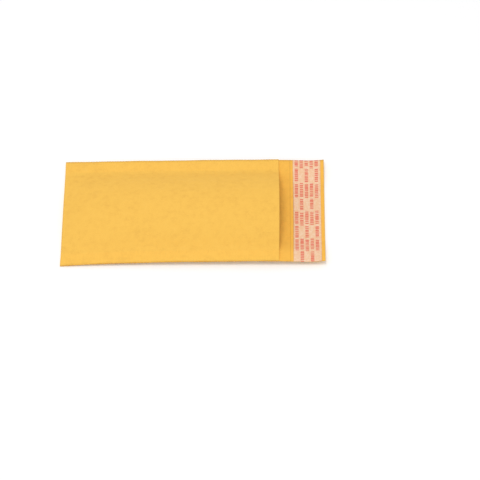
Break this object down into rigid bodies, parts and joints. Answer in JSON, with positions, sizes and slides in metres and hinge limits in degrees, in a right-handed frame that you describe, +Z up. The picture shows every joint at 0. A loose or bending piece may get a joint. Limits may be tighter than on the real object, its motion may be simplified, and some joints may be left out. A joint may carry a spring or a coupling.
{
  "type": "padded envelope",
  "caption": "Slim kraft padded envelope lying flat and slightly puffed, its mouth open, with crimped side seals, a bubble-film lining and a flap with an adhesive band under a release strip.",
  "frame": {"origin": "centre of the bounding box's bottom, on the surface that the envelope lies on", "axes": "+X along the length, from the bottom fold towards the flap's free end; +Y across the width; +Z up, from the back panel to the front panel"},
  "size_m": [0.2032, 0.1016, 0.0191],
  "materials": {
    "kraft_wrapper": "plain brown kraft paper, uncoated and matt",
    "bubble_liner": "thin milky polyethylene bubble film",
    "adhesive_band": "pale yellowish pressure-sensitive adhesive, slightly glossy",
    "release_strip": "thin pale peach release film printed with small red marks, soft sheen"
  },
  "bodies": {
    "root": {"kraft_wrapper": "kraft_wrapper", "bubble_liner": "bubble_liner", "adhesive_band": "adhesive_band", "release_strip": "release_strip"}
  },
  "joints": []
}
